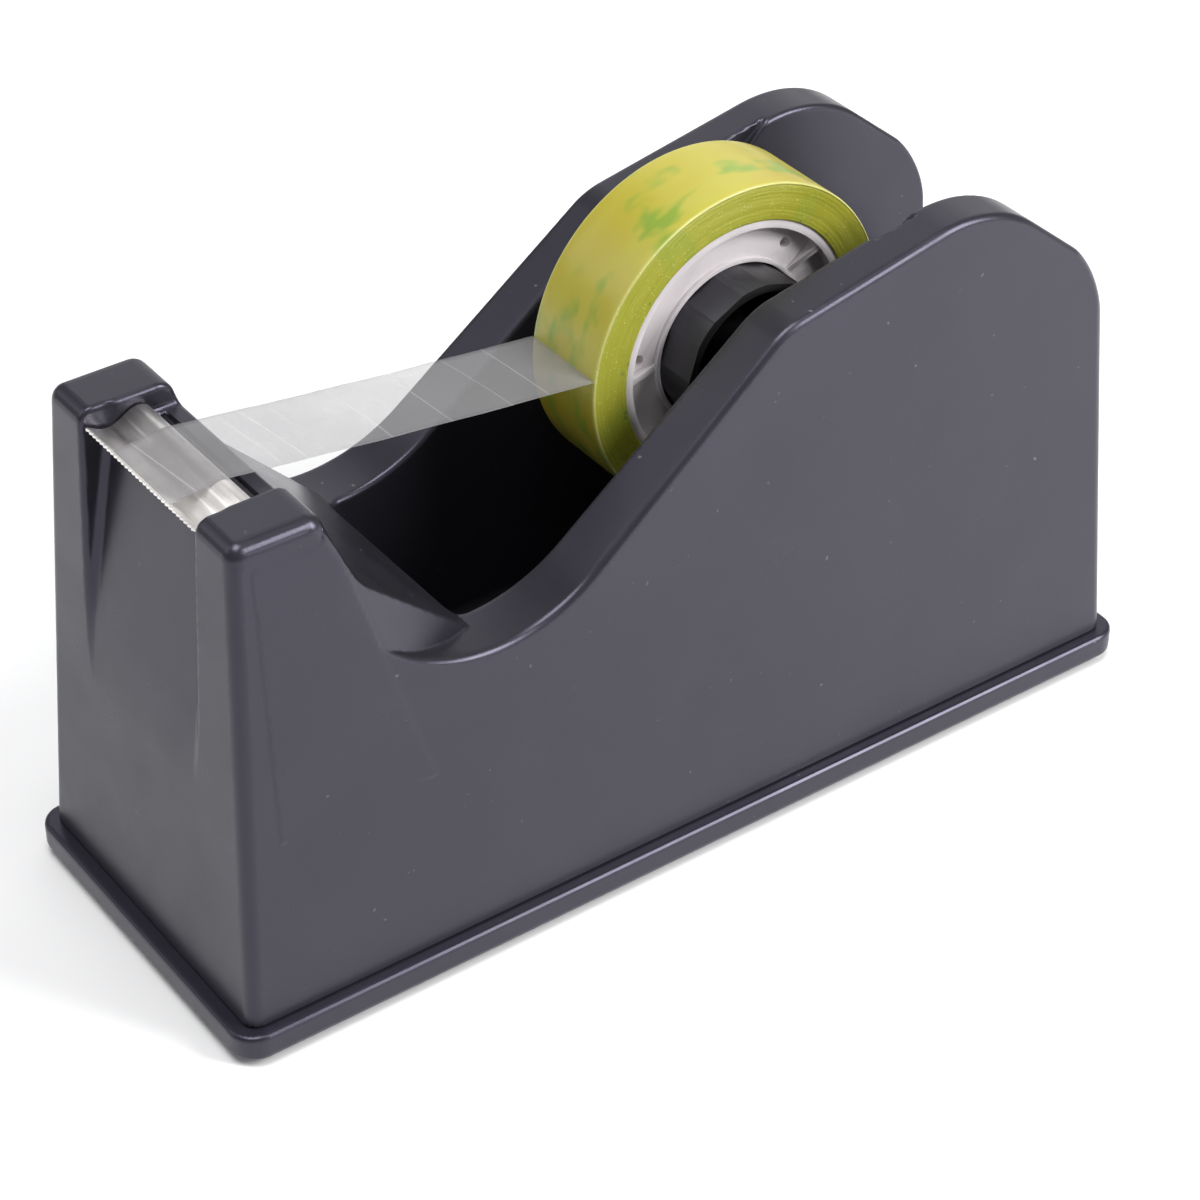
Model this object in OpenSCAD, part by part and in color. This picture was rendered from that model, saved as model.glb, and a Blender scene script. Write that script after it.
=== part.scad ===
// Weighted desktop tape dispenser: a two-wall housing on a base plate, a steel cutter blade
// between two front posts, and a small-core tape roll on a drum that spins on a lift-out axle.
// +Z is up, the cutter faces -Y, and the origin is the middle of the footprint on the table.

/* [Base] */
// Length of the base plate, front to rear
base_l = 195; // [180:1:210]
// Width of the base plate
base_w = 72.5; // [68:0.5:78]
// Height of the base plate's rim
base_h = 5; // [4:0.5:7]
// Corner radius of the base plate
base_r = 5; // [3:0.5:8]
// How far the rubber feet stand below the base plate
foot_drop = 1.5; // [1:0.5:3]
// Radius of each rubber foot
foot_r = 7; // [5:0.5:8]

/* [Housing] */
// Ledge of the base plate in front of and behind the housing
ledge_y = 2.8; // [2:0.1:4]
// Ledge of the base plate beside the housing
ledge_x = 2.3; // [1.5:0.1:3]
// Inward lean of each side wall, millimetres per millimetre of height
side_draft = 0.055; // [0.03:0.005:0.08]
// Inward lean of the front and rear walls
end_draft = 0.066; // [0.04:0.002:0.08]
// Radius of the housing's upright corners
corner_r = 3.5; // [2:0.5:5]
// Thickness of the moulded skins
skin = 2.4; // [2:0.1:3]
// Height of the two posts beside the cutter, above the base plate's underside
post_h = 97; // [90:1:102]
// Depth of the posts along the dispenser
post_d = 16.5; // [14:0.5:20]
// Height where the steep rear side of the cutter posts ends
post_foot_h = 68.8; // [65:0.2:72]
// Slope of the wall's rise behind the valley, in degrees
rise_angle = 38; // [32:1:44]
// Slope of the gentle climb to the crest, in degrees
climb_angle = 11.3; // [8:0.1:14]
// Slope of the fall behind the crest, in degrees
fall_angle = 37; // [30:1:42]

/* [Trough] */
// Width of the trough between the walls
trough_w = 39; // [36:0.5:42]
// Distance from the base plate's front edge to the trough's front lip
lip_y = 54; // [50:1:58]
// Height of the trough's front lip
lip_h = 60.5; // [56:0.5:64]
// Height of the trough floor
floor_h = 24; // [20:1:30]
// Height of the low rear wall between the two side walls
rear_lip_h = 58; // [50:1:64]

/* [Cutter] */
// Width of the gap between the posts
gap_w = 35; // [32:0.5:38]
// Height of the land that the blade rests on
land_h = 92.4; // [91:0.1:93.5]
// Thickness of the blade's sheet
blade_t = 0.5; // [0.4:0.1:1]
// Number of teeth along the blade
teeth = 30; // [20:1:40]

/* [Reel] */
// Distance from the base plate's front edge to the reel's axis
reel_y = 120.7; // [116:0.1:126]
// Height of the reel's axis above the base plate's underside
reel_h = 81.8; // [78:0.1:86]
// Outer radius of the tape roll
roll_r = 30.7; // [26:0.1:36]
// Width of the tape
tape_w = 18; // [12:0.5:25]
// Outer radius of the plastic tape core
core_r = 23.8; // [20:0.1:25]
// Radius of the core's bore, which the drum fills
bore_r = 15; // [13:0.1:17]
// Length of the drum
drum_l = 29.2; // [24:0.2:30]
// Radius of the axle
axle_r = 3; // [2.5:0.1:4]
// Radial running clearance between the drum and the axle
axle_gap = 0.05; // [0.02:0.01:0.1]

/* [Hidden] */
fine = 96;
coarse = 32;
eps = 0.01;
above = 60;                                  // how far cutters reach past the top

y0 = -base_l / 2;                            // front edge of the base plate
z0 = foot_drop;                              // underside of the base plate
plate_t = 2.4;                               // thickness of the base plate's web
half_w = base_w / 2 - ledge_x;               // half width of the housing where it meets the base
seat_z = z0 + base_h;                        // top of the base plate's rim
top_h = 110;                                 // height of the tapered block the housing is cut from
axis_y = y0 + reel_y;
axis_z = z0 + reel_h;
gap = 0.3;                                   // clearance between loose pieces

// A point of the side outline, from its distance behind the front edge and its height
function at(y, h) = [y0 + y, z0 + h];
// The front and the rear face lean inward with height
function front_y(h) = ledge_y + end_draft * (h - base_h);
function rear_y(h) = base_l - ledge_y - end_draft * (h - base_h);

function unit(v) = v / norm(v);
// Points of the arc of radius r that rounds corner b between a and c
function corner_arc(a, b, c, r) =
    let(u = unit(a - b), v = unit(c - b), half = acos(u * v) / 2, centre = b + unit(u + v) * r / sin(half),
        first = b + u * r / tan(half) - centre, last = b + v * r / tan(half) - centre,
        start = atan2(first[1], first[0]), turn = atan2(last[1], last[0]) - start,
        sweep = turn > 180 ? turn - 360 : turn < -180 ? turn + 360 : turn,
        steps = max(3, ceil(abs(sweep) / 7)))
    [for (i = [0:steps]) centre + r * [cos(start + sweep * i / steps), sin(start + sweep * i / steps)]];
// An outline whose corners [y, z, radius] are rounded, and sharp where the radius is 0
function rounded(corners) =
    let(n = len(corners), p = [for (c = corners) [c[0], c[1]]])
    [for (i = [0:n - 1]) each corners[i][2] == 0 ? [p[i]]
        : corner_arc(p[(i + n - 1) % n], p[i], p[(i + 1) % n], corners[i][2])];
// The same corners moved inward by d, for an outline that runs anticlockwise
function inset(corners, d) =
    let(n = len(corners), p = [for (c = corners) [c[0], c[1]]],
        normal = [for (i = [0:n - 1]) let(e = unit(p[(i + 1) % n] - p[i])) [-e[1], e[0]]])
    [for (i = [0:n - 1]) let(a = normal[(i + n - 1) % n], b = normal[i], q = p[i] + (a + b) * d / (1 + a * b))
        [q[0], q[1], corners[i][2]]];
// A height h at distance y on the line through (y1, h1) that slopes by an angle
function on_line(y, y1, h1, angle) = h1 + (y - y1) * tan(angle);

// Side outline of the housing, anticlockwise from the front foot of the wall
knee_y = 114.9;
knee_h = 97.3;
rise_y = 55.6;                               // where the rise would meet the slope down from the post
rise_h = on_line(rise_y, knee_y, knee_h, rise_angle);
crest_y = 160.5;
crest_h = on_line(crest_y, knee_y, knee_h, climb_angle);
heel_h = 84.5;
post_foot_y = 33.8;
over = 0.05;                                 // the outline runs this far past the leaning block's ends
housing_side = [
    [each at(front_y(0) - over, 0), 0],
    [each at(rear_y(0) + over, 0), 0],
    [each at(rear_y(heel_h) + over, heel_h), 7],
    [each at(crest_y, crest_h), 25],
    [each at(knee_y, knee_h), 14],
    [each at(rise_y, rise_h), 31],
    [each at(post_foot_y, post_foot_h), 3],
    [each at(front_y(post_h) + post_d, post_h), 3],
    [each at(front_y(post_h) - over, post_h), 2.5]
];
// Outline of the ramp from the cutter down to the trough's front lip
ramp_y = 12;
ramp_foot_h = 40;
ramp_side = [
    [each at(ramp_y, ramp_foot_h), 0],
    [each at(lip_y, ramp_foot_h), 0],
    [each at(lip_y, lip_h), 0],
    [each at(31, 82), 14],
    [each at(front_y(post_h) + post_d, land_h + 2), 0],
    [each at(front_y(post_h) + post_d - 1, land_h), 0],
    [each at(ramp_y, land_h), 0]
];
// Outline of the trough, open at the top
trough_side = [
    [each at(lip_y, lip_h), 0],
    [each at(lip_y + 5, floor_h), 9],
    [each at(rear_y(rear_lip_h) - skin - 3, floor_h), 9],
    [each at(rear_y(rear_lip_h) - skin, rear_lip_h), 0],
    [each at(base_l + 5, rear_lip_h), 0],
    [each at(base_l + 5, top_h + above), 0],
    [each at(lip_y, top_h + above), 0]
];

// Extrudes a side outline [y, z] across the width w
module across(w) {
    rotate([90, 0, 90]) linear_extrude(w, center = true) children();
}

module plate_outline(inset_x, inset_y, r) {
    hull() for (sx = [-1, 1], sy = [-1, 1])
        translate([sx * (base_w / 2 - inset_x - r), sy * (base_l / 2 - inset_y - r)]) circle(r, $fn = coarse);
}

// The leaning block that the housing is cut from, shrunk by d on all four sides
module leaning_block(d) {
    foot_x = half_w - d;
    head_x = foot_x - side_draft * top_h;
    module side_view() polygon([[front_y(0) + d + y0, z0 - 1], [rear_y(0) - d + y0, z0 - 1],
                                [rear_y(top_h) - d + y0, z0 + top_h], [front_y(top_h) + d + y0, z0 + top_h]]);
    module end_view() polygon([[-foot_x, z0 - 1], [foot_x, z0 - 1], [head_x, z0 + top_h], [-head_x, z0 + top_h]]);
    intersection() {
        across(base_w) side_view();
        rotate([90, 0, 0]) linear_extrude(base_l, center = true) end_view();
        translate([0, 0, seat_z]) linear_extrude(top_h) square([base_w, base_l], center = true);
    }
}
// Bevels that break the housing's upright corners
module corner_bevels() {
    side = 2 * (sqrt(2) - 1) * corner_r;
    for (sx = [-1, 1], sy = [-1, 1])
        translate([sx * half_w, sy * (base_l / 2 - front_y(0)), z0])
            rotate([sy * atan(end_draft), -sx * atan(side_draft), 0]) rotate(45)
                cube([side, side, 2 * top_h + above], center = true);
}

// The ramp's flanks are flat facets that face sideways, to the rear and a little up
facet_turn = 23;
facet_tilt = 9.7;
facet_at = [24.5, 52, 59];                   // a point on the right flank: across, from the front, height
module beside_facet(s, d) {
    size = 2 * base_l;
    mirror([s < 0 ? 1 : 0, 0, 0]) translate([facet_at[0], y0 + facet_at[1], z0 + facet_at[2]])
        rotate([0, -facet_tilt, facet_turn]) translate([-size - d, -size / 2, -size / 2]) cube(size);
}
module ramp(d) {
    intersection() {
        across(base_w) polygon(rounded(inset(ramp_side, d)));
        beside_facet(-1, d);
        beside_facet(1, d);
    }
}

// Pocket behind the blade's land that the cutter carrier drops into
pocket_w = gap_w - 2;
pocket_y = [16.6, 23.4];
pocket_h = 80;

module trough_solid(d) {
    across(trough_w + 2 * d) polygon(rounded(inset(trough_side, -d)));
}

module between(x, y_span, h_span) {
    translate([-x / 2, y0 + y_span[0], z0 + h_span[0]])
        cube([x, y_span[1] - y_span[0], h_span[1] - h_span[0]]);
}

// Places that hold a base screw, clear of the feet
screw_x = 21;
screw_y = [-base_l / 2 + 24, base_l / 2 - 24];
screw_r = 1.5;
head_r = 3;
head_h = 1.2;
head_seat = 1.4;                             // depth of the counterbore for a screw's head
boss_r = 3.8;
ballast_h = 15;
module at_screws() {
    for (x = [-screw_x, screw_x], y = screw_y) translate([x, y, 0]) children();
}
// Places that hold a carrier screw
carrier_screw_x = 10;
post_l = 12;                                 // length of the posts below the pocket
carrier_screw_y = y0 + (pocket_y[0] + pocket_y[1]) / 2;
module at_carrier_screws() {
    for (x = [-carrier_screw_x, carrier_screw_x]) translate([x, carrier_screw_y, 0]) children();
}

// Blind slots in the trough's side faces guide the ends of the axle up and to the rear
slot_angle = 42;
slot_depth = 1.4;
slot_w = 4.4;
module axle_slots() {
    for (s = [-1, 1]) translate([s * trough_w / 2, axis_y, axis_z]) rotate([slot_angle, 0, 0]) {
        rotate([0, 90, 0]) cylinder(2 * slot_depth, r = slot_w / 2, center = true, $fn = fine);
        translate([-slot_depth, 0, -slot_w / 2]) cube([2 * slot_depth, above, slot_w]);
    }
}

// The housing's solid body, shrunk by d on every side
module housing_body(d) {
    intersection() {
        leaning_block(d);
        union() {
            across(base_w + 2) polygon(rounded(inset(housing_side, d)));
            ramp(d);
        }
    }
}

// Everything the hollow inside of the moulding leaves standing
module housing_inside_walls() {
    trough_solid(skin);
    front_recess(skin);
    between(gap_w + 2 * skin, [0, front_y(post_h) + post_d + skin], [pocket_h - skin, top_h]);
    at_screws() translate([0, 0, seat_z]) cylinder(floor_h - base_h, r = boss_r, $fn = coarse);
    at_carrier_screws() translate([0, 0, z0 + pocket_h - post_l]) cylinder(post_l, r = boss_r, $fn = coarse);
    for (x = [-1, 1], y = screw_y) translate([x * (half_w - 5) - 5, y - 1, seat_z]) cube([10, 2, floor_h - base_h]);
}

module housing() {
    color([0.2, 0.19, 0.23]) {
        difference() {
            housing_body(0);
            difference() {
                housing_body(skin);
                housing_inside_walls();
            }
            corner_bevels();
            trough_solid(0);
            between(gap_w, [-5, front_y(post_h) + post_d + 12], [land_h, top_h]);
            between(pocket_w, pocket_y, [pocket_h, top_h]);
            front_recess(0);
            at_screws() cylinder(floor_h - 3, r = screw_r, $fn = coarse);
            at_carrier_screws() translate([0, 0, z0]) cylinder(top_h, r = screw_r, $fn = coarse);
            axle_slots();
        }
    }
}

// Wedge-shaped hollow below the blade, flush with the front at its foot, grown by d
recess_foot = 52;
recess_d = 5.5;
module front_recess(d) {
    foot = at(front_y(recess_foot), recess_foot);
    head = at(front_y(land_h) + recess_d, land_h);
    past = foot + (head - foot) * 1.05;
    across(gap_w + 2 * d) polygon([[y0 - 1, foot[1] - d], [foot[0] + d, foot[1] - d], past + [d, 0], [y0 - 1, past[1]]]);
}

// A tray with a raised rim that the housing stands on, and standoffs at the screws
module base_plate() {
    color([0.17, 0.17, 0.21]) difference() {
        translate([0, 0, z0]) linear_extrude(base_h) plate_outline(0, 0, base_r);
        difference() {
            translate([0, 0, z0 + plate_t]) linear_extrude(base_h)
                plate_outline(ledge_x + skin + 2, ledge_y + skin + 2, 3);
            at_screws() cylinder(z0 + base_h, r = boss_r, $fn = coarse);
        }
        at_screws() cylinder(4 * base_h, r = screw_r + 0.3, center = true, $fn = coarse);
        at_screws() cylinder(z0 + head_seat, r = head_r + 0.3, $fn = coarse);
        at_feet() cylinder(1.6, r = foot_r + 0.1, $fn = fine);
    }
}

foot_x = base_w / 2 - foot_r - 4;
foot_y = base_l / 2 - foot_r - 4;
foot_seat = 0.8;
module at_feet() {
    for (x = [-foot_x, foot_x], y = [-foot_y, foot_y]) translate([x, y, z0 + foot_seat - 1.6]) children();
}
// A rubber foot, seated in the base plate, with a rounded lower rim
module foot(sx, sy) {
    color([0.1, 0.1, 0.1]) translate([sx * foot_x, sy * foot_y, 0])
        rotate_extrude($fn = fine) polygon(rounded([
            [0, 0, 0], [foot_r, 0, 0.6], [foot_r, z0 + foot_seat, 0], [0, z0 + foot_seat, 0]
        ]));
}
module foot_front_left() { foot(-1, -1); }
module foot_front_right() { foot(1, -1); }
module foot_rear_left() { foot(-1, 1); }
module foot_rear_right() { foot(1, 1); }

// Self-tapping screws through the base plate into the housing's bosses
module base_screws() {
    color([0.6, 0.6, 0.62]) at_screws() screw(z0 + head_seat - head_h, 17);
}
// A cross-head screw that points up, its head's underside at z + head_h
module screw(z, length) {
    translate([0, 0, z]) difference() {
        union() {
            cylinder(head_h, r1 = head_r - 0.5, r2 = head_r, $fn = coarse);
            cylinder(length, r = screw_r - 0.02, $fn = coarse);
        }
        for (a = [0, 90]) rotate(a) translate([-2, -0.35, -eps]) cube([4, 0.7, 0.8]);
    }
}

// Steel ballast on the base plate, in the front column and below the trough, and a foam pad above it
module block_on_plate(y, size, z = 0) {
    translate([-size[0] / 2, y0 + y, z0 + plate_t + z]) cube(size);
}
module ballast_front() {
    color([0.35, 0.34, 0.33]) block_on_plate(29.5, [50, 19, 48]);
}
module ballast_rear() {
    color([0.35, 0.34, 0.33]) block_on_plate(56, [50, 108, ballast_h]);
}
module ballast_pad() {
    color([0.25, 0.25, 0.25]) block_on_plate(62, [44, 96, floor_h - skin - plate_t - ballast_h], ballast_h);
}

// Plastic insert that holds the blade; ribs on its rear edge stand beside the open slot
carrier_gap = 0.15;
module cutter_carrier() {
    rib_y = pocket_y[1] - carrier_gap - 1.2;
    color([0.16, 0.16, 0.18]) difference() {
        union() {
            between(pocket_w - 2 * carrier_gap, [pocket_y[0] + carrier_gap, pocket_y[1] - carrier_gap],
                    [pocket_h, land_h - 4]);
            between(pocket_w - 2 * carrier_gap, [pocket_y[0] + carrier_gap, pocket_y[0] + 2.6], [pocket_h, land_h]);
            between(pocket_w - 2 * carrier_gap, [rib_y, pocket_y[1] - carrier_gap], [pocket_h, land_h - 0.5]);
            for (x = [-14.5, -5, 5, 14.5]) translate([x, 0, 0])
                between(1.2, [pocket_y[0] + 0.5, pocket_y[1] - 0.5], [pocket_h, land_h - 1.2]);
        }
        between(gap_w, [blade_tab_y - gap, blade_tab_y + blade_t + gap], [land_h - 9, top_h]);
        at_carrier_screws() translate([0, 0, z0]) cylinder(pocket_h + 6, r = screw_r - 0.02, $fn = coarse);
    }
}
module carrier_screws() {
    color([0.6, 0.6, 0.62]) at_carrier_screws() screw(z0 + pocket_h - post_l - head_h, 18);
}

// Stamped steel blade: teeth, a valley, a crest that the tape sticks to, and a tab into the carrier
blade_w = gap_w - 0.6;
blade_front_y = front_y(post_h) + 0.2;
crest_blade_y = 18.9;
blade_tab_y = 20.2;
blade_mid = 94;
blade_wave = 1.1;
wave_l = 11.6;
function wave(y) = blade_mid + blade_wave * cos(360 * (y - crest_blade_y) / wave_l);
module cutter_blade() {
    bend = crest_blade_y + 0.8;
    top = [for (i = [0:24]) let(y = blade_front_y + (bend - blade_front_y) * i / 24) at(y, wave(y))];
    pitch = blade_w / teeth;
    color([0.78, 0.77, 0.76]) difference() {
        union() {
            across(blade_w) polygon(concat(
                top, [at(blade_tab_y + blade_t, wave(bend) - 0.6), at(blade_tab_y + blade_t, land_h),
                      at(blade_tab_y, land_h), at(blade_tab_y, wave(bend) - 0.9)],
                [for (i = [24:-1:0]) top[i] - [0, blade_t]]));
            between(pocket_w - 2 * gap, [blade_tab_y, blade_tab_y + blade_t], [land_h - 7, land_h + 1]);
        }
        for (i = [0:teeth]) translate([-blade_w / 2 + i * pitch, y0 + blade_front_y, z0 + blade_mid])
            rotate(45) cube([pitch * 0.68, pitch * 0.68, 4], center = true);
    }
}

// Steel axle: two spigots that sit in the housing's slots, and grooves for the clips
washer_t = 0.6;
clip_t = 0.8;
groove_d = 0.6;
tube_r = 5.4;
tube_l = 25;
end_gap = 0.1;
washer_x = tube_l / 2 + end_gap + washer_t / 2;
clip_x = washer_x + washer_t / 2 + end_gap + clip_t / 2;
spigot_r = slot_w / 2 - 0.12;
module axle() {
    color([0.72, 0.72, 0.74]) translate([0, axis_y, axis_z]) rotate([0, 90, 0]) difference() {
        union() {
            cylinder(trough_w - 1, r = axle_r, center = true, $fn = fine);
            cylinder(trough_w + 2 * slot_depth - 0.6, r = spigot_r, center = true, $fn = fine);
        }
        for (s = [-1, 1]) translate([0, 0, s * clip_x]) difference() {
            cylinder(clip_t + 0.1, r = axle_r + 1, center = true, $fn = fine);
            cylinder(clip_t + 1, r = axle_r - groove_d, center = true, $fn = fine);
        }
    }
}
module axle_washers() {
    color([0.85, 0.84, 0.8]) for (s = [-1, 1])
        translate([s * washer_x, axis_y, axis_z]) rotate([0, 90, 0]) difference() {
            cylinder(washer_t, r = tube_r - 0.4, center = true, $fn = fine);
            cylinder(washer_t + 1, r = axle_r + axle_gap, center = true, $fn = fine);
        }
}
module axle_clips() {
    color([0.4, 0.4, 0.42]) for (s = [-1, 1])
        translate([s * clip_x, axis_y, axis_z]) rotate([0, 90, 0]) difference() {
            cylinder(clip_t, r = axle_r + 1.4, center = true, $fn = fine);
            cylinder(clip_t + 1, r = axle_r - groove_d + 0.02, center = true, $fn = fine);
            translate([axle_r + 1, 0, 0]) cube([2 * axle_r, 2.6, clip_t + 1], center = true);
        }
}

// Drum: a round rim with shallow flats and a snap tongue, a web with four windows, and a tube
rim_t = 1.6;
web_t = 2.4;
flat_d = 0.35;                               // how deep the eight flats cut into the rim
flat_turn = 5.5;
tongue_turn = 147;
tongue_w = 2.4;
tongue_gap = 0.4;
tongue_d = 1.2;                              // how far the tongue stands out of the rim's end
module rim_bar(r) {
    intersection() {
        cylinder(drum_l, r = r, center = true, $fn = fine);
        rotate(flat_turn) cylinder(drum_l + 1, r = (r - flat_d) / cos(22.5), center = true, $fn = 8);
    }
}
module tongue(w, l) {
    rotate(tongue_turn) translate([bore_r - rim_t - 0.4, -w / 2, web_t - 1]) cube([rim_t, w, l - web_t + 1]);
}
module drum() {
    color([0.2, 0.2, 0.21]) translate([0, axis_y, axis_z]) rotate([0, 90, 0]) difference() {
        union() {
            difference() {
                rim_bar(bore_r - 0.1);
                cylinder(drum_l + 1, r = bore_r - 0.1 - rim_t, center = true, $fn = fine);
                rotate(tongue_turn) translate([bore_r - 3, -tongue_w / 2 - tongue_gap, web_t])
                    cube([4, tongue_w + 2 * tongue_gap, drum_l]);
            }
            tongue(tongue_w, drum_l / 2 + tongue_d);
            difference() {
                cylinder(web_t, r = bore_r - 0.5, center = true, $fn = fine);
                for (i = [0:3]) rotate(flat_turn + 45 + 90 * i) window();
            }
            cylinder(tube_l, r = tube_r, center = true, $fn = fine);
            for (i = [0:3]) rotate(flat_turn + 90 * i)
                translate([(tube_r + bore_r) / 2 - 1, 0, 0]) cube([bore_r - tube_r - 1.2, 1, 7], center = true);
        }
        cylinder(drum_l, r = axle_r + axle_gap, center = true, $fn = fine);
    }
}
module window() {
    rotate(-29) rotate_extrude(angle = 58, $fn = fine) translate([tube_r + 1.6, -web_t])
        square([bore_r - tube_r - 5.4, 2 * web_t]);
}

// White plastic core: an outer ring, a sunken web with a low collar, gussets and small holes
core_w = tape_w - 0.8;
web_sink = 2.6;
ring_t = 1.6;
collar_t = 0.8;
collar_h = 0.7;
gusset_t = 1.2;
gusset_turns = [127, 269, 18];
hole_turns = [22, 142, 262];
hole_r = 1.15;
module gusset() {
    rotate([90, 0, 0]) linear_extrude(gusset_t, center = true)
        polygon([[core_r - ring_t + 0.2, -web_sink], [core_r - ring_t + 0.2, -0.3],
                 [bore_r + collar_t, -web_sink + 0.3], [bore_r + collar_t, -web_sink]]);
}
module tape_core() {
    half = core_w / 2;
    color([0.86, 0.84, 0.83]) translate([0, axis_y, axis_z]) rotate([0, 90, 0]) {
        difference() {
            cylinder(core_w, r = core_r, center = true, $fn = fine);
            cylinder(core_w + 1, r = bore_r, center = true, $fn = fine);
            for (s = [-1, 1]) translate([0, 0, s * half]) difference() {
                cylinder(2 * web_sink, r = core_r - ring_t, center = true, $fn = fine);
                cylinder(2 * (web_sink + 1), r = bore_r + collar_t, center = true, $fn = fine);
            }
            for (s = [-1, 1]) translate([0, 0, s * half])
                cylinder(2 * (web_sink - collar_h), r = bore_r + collar_t + 0.1, center = true, $fn = fine);
            for (turn = hole_turns) rotate(turn) translate([(core_r + bore_r) / 2, 0, 0])
                cylinder(core_w + 1, r = hole_r, center = true, $fn = coarse);
        }
        for (turn = gusset_turns) rotate(turn) {
            translate([0, 0, half]) gusset();
            mirror([0, 0, 1]) translate([0, 0, half]) gusset();
        }
    }
}
module tape_roll() {
    color([0.75, 0.72, 0.2]) translate([0, axis_y, axis_z]) rotate([0, 90, 0]) difference() {
        cylinder(tape_w, r = roll_r, center = true, $fn = fine);
        cylinder(tape_w + 1, r = core_r, center = true, $fn = fine);
    }
}

// Free end of the tape: it peels off the roll's front and runs over the blade's crest to the teeth
tail_t = 0.2;
peel_angle = 172;
module tape_tail() {
    peel_r = roll_r + 0.35;
    lift = 0.12;
    crest = at(crest_blade_y, wave(crest_blade_y) + lift);
    tip = at(blade_front_y + 0.3, wave(blade_front_y + 0.3) + lift);
    peel = [axis_y + peel_r * cos(peel_angle), axis_z + peel_r * sin(peel_angle)];
    color([0.85, 0.85, 0.85], 0.4) across(tape_w)
        polygon([tip, crest, peel, peel + [0, tail_t], crest + [0, tail_t], tip + [0, tail_t]]);
}

housing();
base_plate();
base_screws();
ballast_front();
ballast_rear();
ballast_pad();
foot_front_left();
foot_front_right();
foot_rear_left();
foot_rear_right();
cutter_carrier();
cutter_blade();
carrier_screws();
axle();
axle_washers();
axle_clips();
drum();
tape_core();
tape_roll();
tape_tail();
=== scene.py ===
import math

import bmesh
import bpy
import numpy as np
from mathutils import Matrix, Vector


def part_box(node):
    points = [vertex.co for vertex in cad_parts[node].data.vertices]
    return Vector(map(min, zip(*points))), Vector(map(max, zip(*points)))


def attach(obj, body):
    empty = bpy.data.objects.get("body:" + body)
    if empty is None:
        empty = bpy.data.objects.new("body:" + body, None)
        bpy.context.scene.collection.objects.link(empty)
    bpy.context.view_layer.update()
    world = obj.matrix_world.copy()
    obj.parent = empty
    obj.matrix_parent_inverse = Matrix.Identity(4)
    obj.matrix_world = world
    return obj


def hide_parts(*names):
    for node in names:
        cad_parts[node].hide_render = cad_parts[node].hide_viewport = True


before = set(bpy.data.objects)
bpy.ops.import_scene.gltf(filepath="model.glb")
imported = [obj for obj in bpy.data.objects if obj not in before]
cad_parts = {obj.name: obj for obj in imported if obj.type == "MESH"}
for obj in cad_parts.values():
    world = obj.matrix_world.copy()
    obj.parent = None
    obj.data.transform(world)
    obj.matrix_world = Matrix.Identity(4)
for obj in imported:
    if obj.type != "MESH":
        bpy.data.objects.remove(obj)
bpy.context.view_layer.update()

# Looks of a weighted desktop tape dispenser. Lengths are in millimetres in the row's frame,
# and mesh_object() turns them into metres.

MM = 0.001


def cad(node):
    """Lowest and highest corner of a CAD node, in millimetres."""
    low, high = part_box(node)
    return np.array(low) / MM, np.array(high) / MM


base_low, base_high = cad("base_plate")
blade_high = cad("cutter_blade")[1]
roll_low, roll_high = cad("tape_roll")
FRONT = base_low[1]                      # front edge of the base plate
UNDER = base_low[2]                      # underside of the base plate
SEAT = base_high[2] - UNDER              # height where the housing meets the base plate
AXIS = (roll_low + roll_high) / 2        # centre of the reel


# ------------------------------------------------------------------ fields of distance
# A solid is a field: negative inside, zero on the surface, in millimetres.

def meet(a, b, r=0.0):
    """Both solids at once; the edge between them is rounded to radius r."""
    return np.minimum(np.maximum(a, b), -r) + np.hypot(np.maximum(a + r, 0), np.maximum(b + r, 0))


def join(a, b, r=0.0):
    """Either solid; the inner corner between them is filled to radius r."""
    return np.maximum(np.minimum(a, b), r) - np.hypot(np.maximum(r - a, 0), np.maximum(r - b, 0))


def cut(a, b, r=0.0):
    """The first solid less the second."""
    return meet(a, -b, r)


def rounded(corners, step=1.5):
    """Outline with corners (u, v, radius) turned into arcs."""
    points = []
    n = len(corners)
    for i in range(n):
        a, b, c = (np.array(corners[k % n][:2], float) for k in (i - 1 + n, i, i + 1))
        r = corners[i][2]
        if r == 0:
            points.append(b)
            continue
        u, v = (a - b) / np.linalg.norm(a - b), (c - b) / np.linalg.norm(c - b)
        half = math.acos(float(u @ v)) / 2
        centre = b + (u + v) / np.linalg.norm(u + v) * r / math.sin(half)
        first, last = b + u * r / math.tan(half) - centre, b + v * r / math.tan(half) - centre
        start = math.atan2(first[1], first[0])
        turn = (math.atan2(last[1], last[0]) - start + math.pi) % (2 * math.pi) - math.pi
        steps = max(3, math.ceil(abs(math.degrees(turn)) / step))
        for k in range(steps + 1):
            angle = start + turn * k / steps
            points.append(centre + r * np.array([math.cos(angle), math.sin(angle)]))
    return np.array(points)


def outline(points, u, v):
    """Field of the area inside a closed outline, over coordinates u and v."""
    far = np.full(np.broadcast(u, v).shape, 1e9)
    inside = np.zeros(far.shape, bool)
    for (au, av), (bu, bv) in zip(points, np.roll(points, -1, 0)):
        eu, ev = bu - au, bv - av
        along = np.clip(((u - au) * eu + (v - av) * ev) / (eu * eu + ev * ev), 0, 1)
        far = np.minimum(far, (u - au - along * eu) ** 2 + (v - av - along * ev) ** 2)
        if ev:
            crosses = ((av > v) != (bv > v)) & (u < au + (v - av) * eu / ev)
            inside = inside ^ crosses
    return np.where(inside, -1, 1) * np.sqrt(far)


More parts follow.
